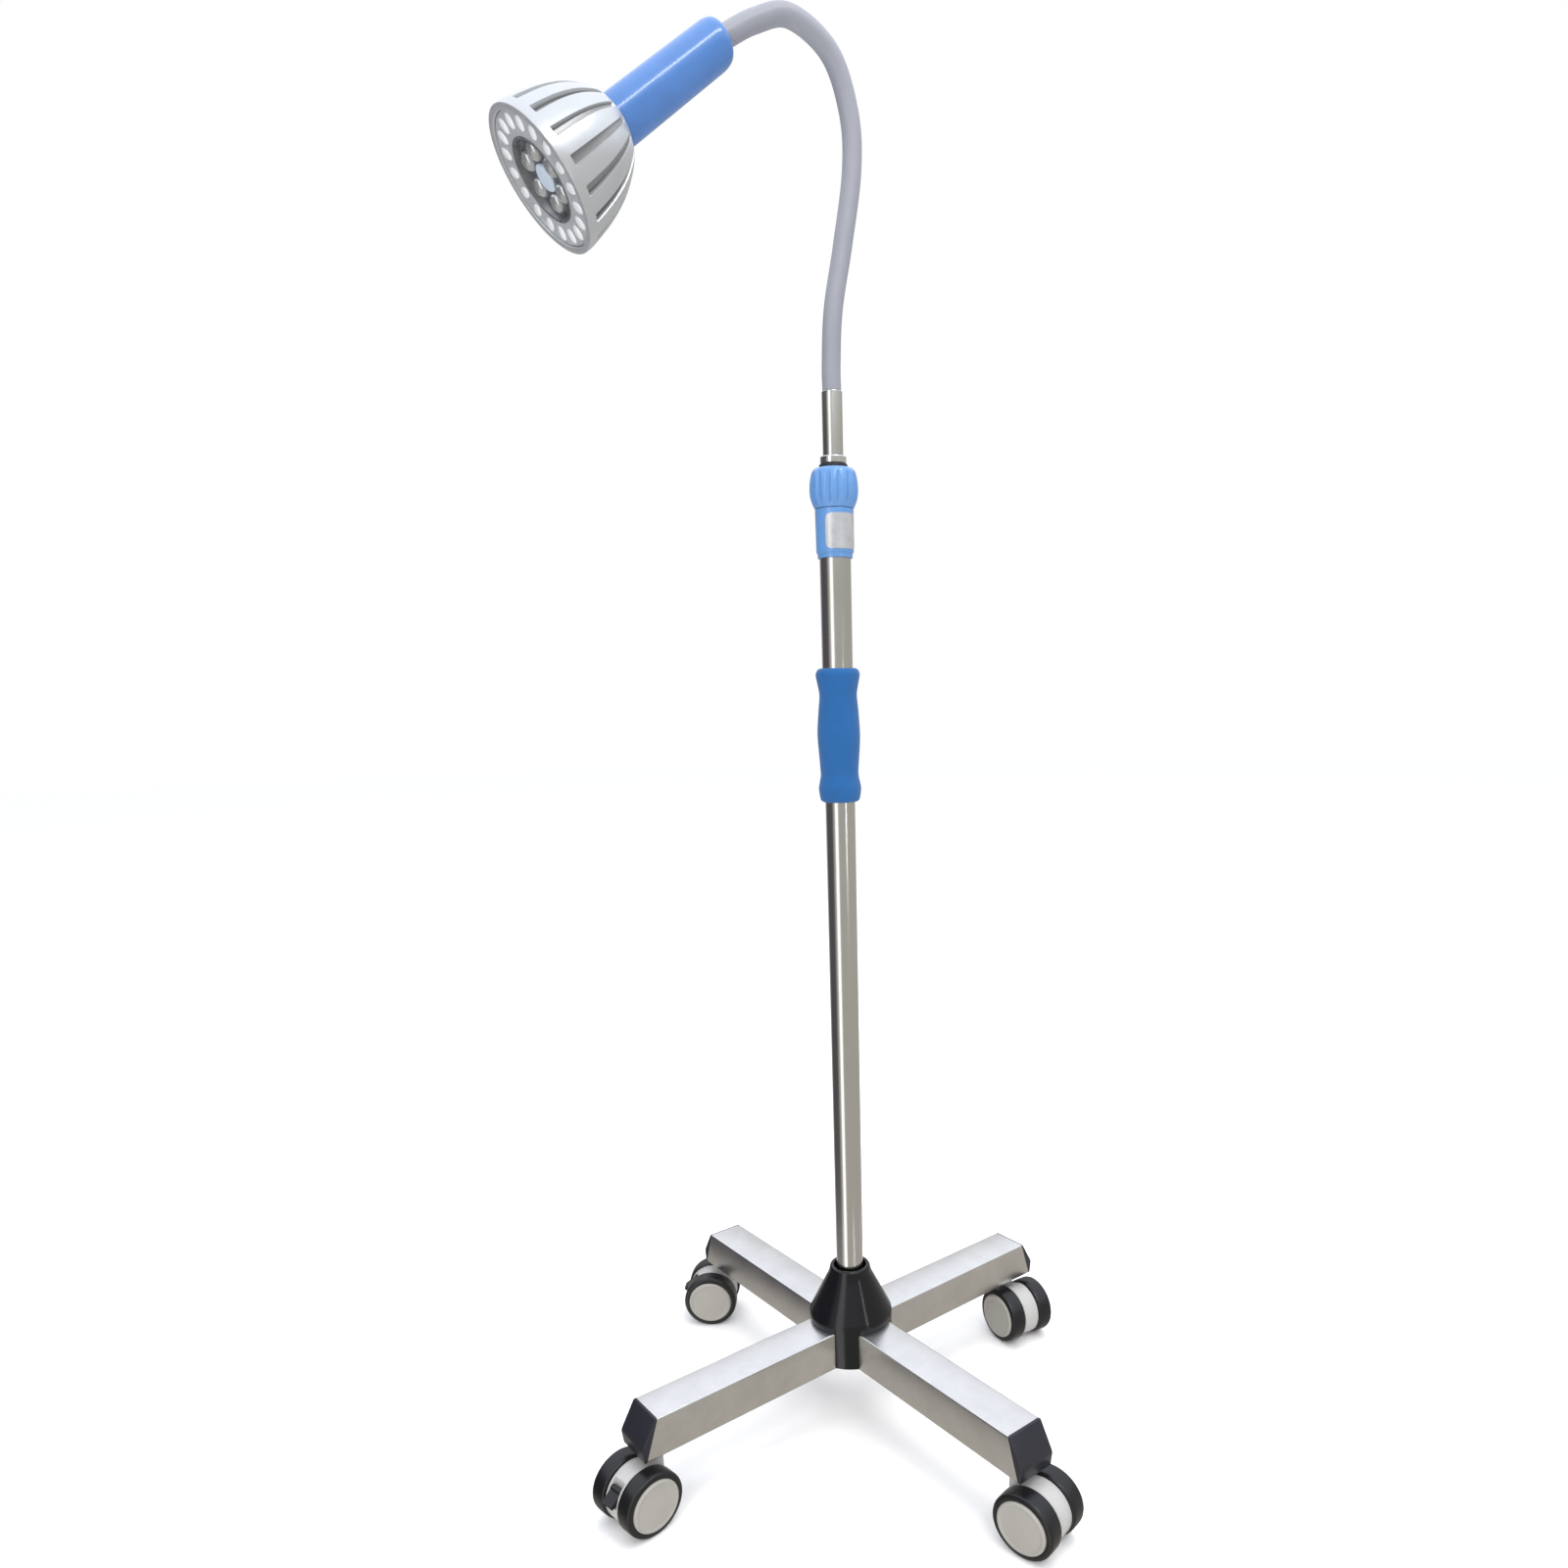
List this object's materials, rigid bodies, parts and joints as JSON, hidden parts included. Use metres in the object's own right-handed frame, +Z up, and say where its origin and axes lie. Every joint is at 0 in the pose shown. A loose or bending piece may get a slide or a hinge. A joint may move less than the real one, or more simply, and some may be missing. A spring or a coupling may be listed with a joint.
{
  "type": "mobile examination lamp",
  "caption": "Examination lamp on a four-legged castor base: telescopic pole with twist lock, foam grip, gooseneck and a finned LED reflector lamp in a round handle.",
  "frame": {"origin": "on the floor, in the middle of the bounding box (the pole stands 16.6 mm to +X and 1.4 mm to +Y of it)", "axes": "+Z up along the pole; +X along the rear right leg, +Y along the rear left leg; the head hangs 12 degrees to +Y of -X"},
  "size_m": [0.6842, 0.7133, 1.528],
  "materials": {
    "stainless": "brushed stainless tube",
    "bright_steel": "bright zinc and chrome plated steel",
    "black_plastic": "moulded, glossy",
    "black_rubber": "matt",
    "tyre": "black polyurethane tread, satin",
    "pale_blue": "moulded, glossy",
    "grip_foam": "closed-cell foam sleeve, matt",
    "grey_pvc": "smooth PVC sleeve over wound steel hose",
    "hub_grey": "moulded, satin",
    "white_plastic": "moulded, satin",
    "silver_aluminium": "silver-white lacquer on die-cast aluminium",
    "clear_lens": "clear moulded lenses",
    "brass": "nickel-brass"
  },
  "bodies": {
    "base": {"hub_block": "stainless", "base_bolt": "bright_steel", "cone_cover": "black_plastic", "outer_pole": "stainless", "cable_grommet": "black_rubber", "hand_grip": "grip_foam", "collar_sleeve": "pale_blue", "tube_collet": "white_plastic", "leg_front_left": "stainless", "end_cap_front_left": "black_plastic", "castor_stem_front_left": "bright_steel", "leg_front_right": "stainless", "end_cap_front_right": "black_plastic", "castor_stem_front_right": "bright_steel", "leg_rear_left": "stainless", "end_cap_rear_left": "black_plastic", "castor_stem_rear_left": "bright_steel", "leg_rear_right": "stainless", "end_cap_rear_right": "black_plastic", "castor_stem_rear_right": "bright_steel"},
    "castor_front_left": {"castor_housing_front_left": "white_plastic"},
    "wheel_front_left_1": {"hub_front_left_1": "hub_grey", "tyre_front_left_1": "tyre"},
    "wheel_front_left_2": {"hub_front_left_2": "hub_grey", "tyre_front_left_2": "tyre"},
    "brake_front_left": {"brake_pedal_front_left": "black_plastic"},
    "castor_front_right": {"castor_housing_front_right": "white_plastic"},
    "wheel_front_right_1": {"hub_front_right_1": "hub_grey", "tyre_front_right_1": "tyre"},
    "wheel_front_right_2": {"hub_front_right_2": "hub_grey", "tyre_front_right_2": "tyre"},
    "castor_rear_left": {"castor_housing_rear_left": "white_plastic"},
    "wheel_rear_left_1": {"hub_rear_left_1": "hub_grey", "tyre_rear_left_1": "tyre"},
    "wheel_rear_left_2": {"hub_rear_left_2": "hub_grey", "tyre_rear_left_2": "tyre"},
    "brake_rear_left": {"brake_pedal_rear_left": "black_plastic"},
    "castor_rear_right": {"castor_housing_rear_right": "white_plastic"},
    "wheel_rear_right_1": {"hub_rear_right_1": "hub_grey", "tyre_rear_right_1": "tyre"},
    "wheel_rear_right_2": {"hub_rear_right_2": "hub_grey", "tyre_rear_right_2": "tyre"},
    "nut": {"twist_nut": "pale_blue", "wiper_ring": "black_rubber"},
    "guide": {"guide_bush": "white_plastic"},
    "mast": {"inner_tube": "stainless", "stop_ring": "bright_steel", "neck_link_0": "grey_pvc"},
    "neck_1": {"neck_link_1": "grey_pvc"},
    "neck_2": {"neck_link_2": "grey_pvc"},
    "neck_3": {"neck_link_3": "grey_pvc"},
    "neck_4": {"neck_link_4": "grey_pvc"},
    "head": {"neck_link_5": "grey_pvc", "handle_sleeve": "pale_blue", "lamp_holder": "white_plastic"},
    "lamp_contact": {"centre_contact": "brass"},
    "lamp": {"heat_sink": "silver_aluminium", "lens_plate": "clear_lens", "led_board": "white_plastic", "screw_cap": "brass"}
  },
  "joints": [
    {"name": "swivel_front_left", "type": "hinge", "parent": "base", "child": "castor_front_left", "pos_m": [-0.2733, 0.0014, 0.08], "axis": [0, 0, 1], "continuous": true},
    {"name": "spin_front_left_1", "type": "hinge", "parent": "castor_front_left", "child": "wheel_front_left_1", "pos_m": [-0.29934, -0.00226, 0.038], "axis": [0.1392, -0.9903, 0], "continuous": true},
    {"name": "spin_front_left_2", "type": "hinge", "parent": "castor_front_left", "child": "wheel_front_left_2", "pos_m": [-0.29934, -0.00226, 0.038], "axis": [0.1392, -0.9903, 0], "continuous": true},
    {"name": "brake_front_left", "type": "hinge", "parent": "castor_front_left", "child": "brake_front_left", "pos_m": [-0.3246, -0.00581, 0.0555], "axis": [0.1392, -0.9903, 0], "range_deg": [0, 10]},
    {"name": "swivel_front_right", "type": "hinge", "parent": "base", "child": "castor_front_right", "pos_m": [0.0161, -0.288, 0.08], "axis": [0, 0, 1], "continuous": true},
    {"name": "spin_front_right_1", "type": "hinge", "parent": "castor_front_right", "child": "wheel_front_right_1", "pos_m": [0.02067, -0.3139, 0.038], "axis": [0.9848, 0.1736, 0], "continuous": true},
    {"name": "spin_front_right_2", "type": "hinge", "parent": "castor_front_right", "child": "wheel_front_right_2", "pos_m": [0.02067, -0.3139, 0.038], "axis": [0.9848, 0.1736, 0], "continuous": true},
    {"name": "swivel_rear_left", "type": "hinge", "parent": "base", "child": "castor_rear_left", "pos_m": [0.0161, 0.2908, 0.08], "axis": [0, 0, 1], "continuous": true},
    {"name": "spin_rear_left_1", "type": "hinge", "parent": "castor_rear_left", "child": "wheel_rear_left_1", "pos_m": [-0.00405, 0.30771, 0.038], "axis": [-0.6428, -0.766, 0], "continuous": true},
    {"name": "spin_rear_left_2", "type": "hinge", "parent": "castor_rear_left", "child": "wheel_rear_left_2", "pos_m": [-0.00405, 0.30771, 0.038], "axis": [-0.6428, -0.766, 0], "continuous": true},
    {"name": "brake_rear_left", "type": "hinge", "parent": "castor_rear_left", "child": "brake_rear_left", "pos_m": [-0.02358, 0.3241, 0.0555], "axis": [-0.6428, -0.766, 0], "range_deg": [0, 10]},
    {"name": "swivel_rear_right", "type": "hinge", "parent": "base", "child": "castor_rear_right", "pos_m": [0.3055, 0.0014, 0.08], "axis": [0, 0, 1], "continuous": true},
    {"name": "spin_rear_right_1", "type": "hinge", "parent": "castor_rear_right", "child": "wheel_rear_right_1", "pos_m": [0.30184, -0.02464, 0.038], "axis": [0.9903, -0.1392, 0], "continuous": true},
    {"name": "spin_rear_right_2", "type": "hinge", "parent": "castor_rear_right", "child": "wheel_rear_right_2", "pos_m": [0.30184, -0.02464, 0.038], "axis": [0.9903, -0.1392, 0], "continuous": true},
    {"name": "nut_twist", "type": "hinge", "parent": "base", "child": "nut", "pos_m": [0.0161, 0.0014, 1.1096], "axis": [0, 0, 1], "range_deg": [0, 120]},
    {"name": "height", "type": "slide", "parent": "base", "child": "guide", "axis": [0, 0, 1], "range_m": [0, 0.42]},
    {"name": "mast_swivel", "type": "hinge", "parent": "guide", "child": "mast", "pos_m": [0.0161, 0.0014, 0.58], "axis": [0, 0, 1], "range_deg": [-170, 170]},
    {"name": "neck_bend_1", "type": "hinge", "parent": "mast", "child": "neck_1", "pos_m": [0.01786, 0.00103, 1.26264], "axis": [-0.2079, -0.9781, 0], "range_deg": [-25, 25]},
    {"name": "neck_bend_2", "type": "hinge", "parent": "neck_1", "child": "neck_2", "pos_m": [0.03025, -0.00161, 1.33142], "axis": [-0.9589, 0.2038, 0.1974], "range_deg": [-25, 25]},
    {"name": "neck_bend_3", "type": "hinge", "parent": "neck_2", "child": "neck_3", "pos_m": [0.0423, -0.00417, 1.4003], "axis": [-0.2079, -0.9781, 0], "range_deg": [-25, 25]},
    {"name": "neck_bend_4", "type": "hinge", "parent": "neck_3", "child": "neck_4", "pos_m": [0.03573, -0.00277, 1.46935], "axis": [-0.9264, 0.1969, -0.3209], "range_deg": [-25, 25]},
    {"name": "neck_bend_5", "type": "hinge", "parent": "neck_4", "child": "head", "pos_m": [-0.01542, 0.0081, 1.51757], "axis": [-0.2079, -0.9781, 0], "range_deg": [-25, 25]},
    {"name": "lamp_travel", "type": "slide", "parent": "head", "child": "lamp_contact", "axis": [-0.7612, 0.1618, -0.628], "range_m": [0, 0.0091]},
    {"name": "lamp_unscrew", "type": "hinge", "parent": "lamp_contact", "child": "lamp", "pos_m": [-0.26052, 0.0602, 1.3427], "axis": [-0.7612, 0.1618, -0.628], "range_deg": [0, 900]}
  ],
  "couplings": [
    {"joint": "lamp_travel", "follows": "lamp_unscrew", "m_per_rad": 0.00057773}
  ]
}
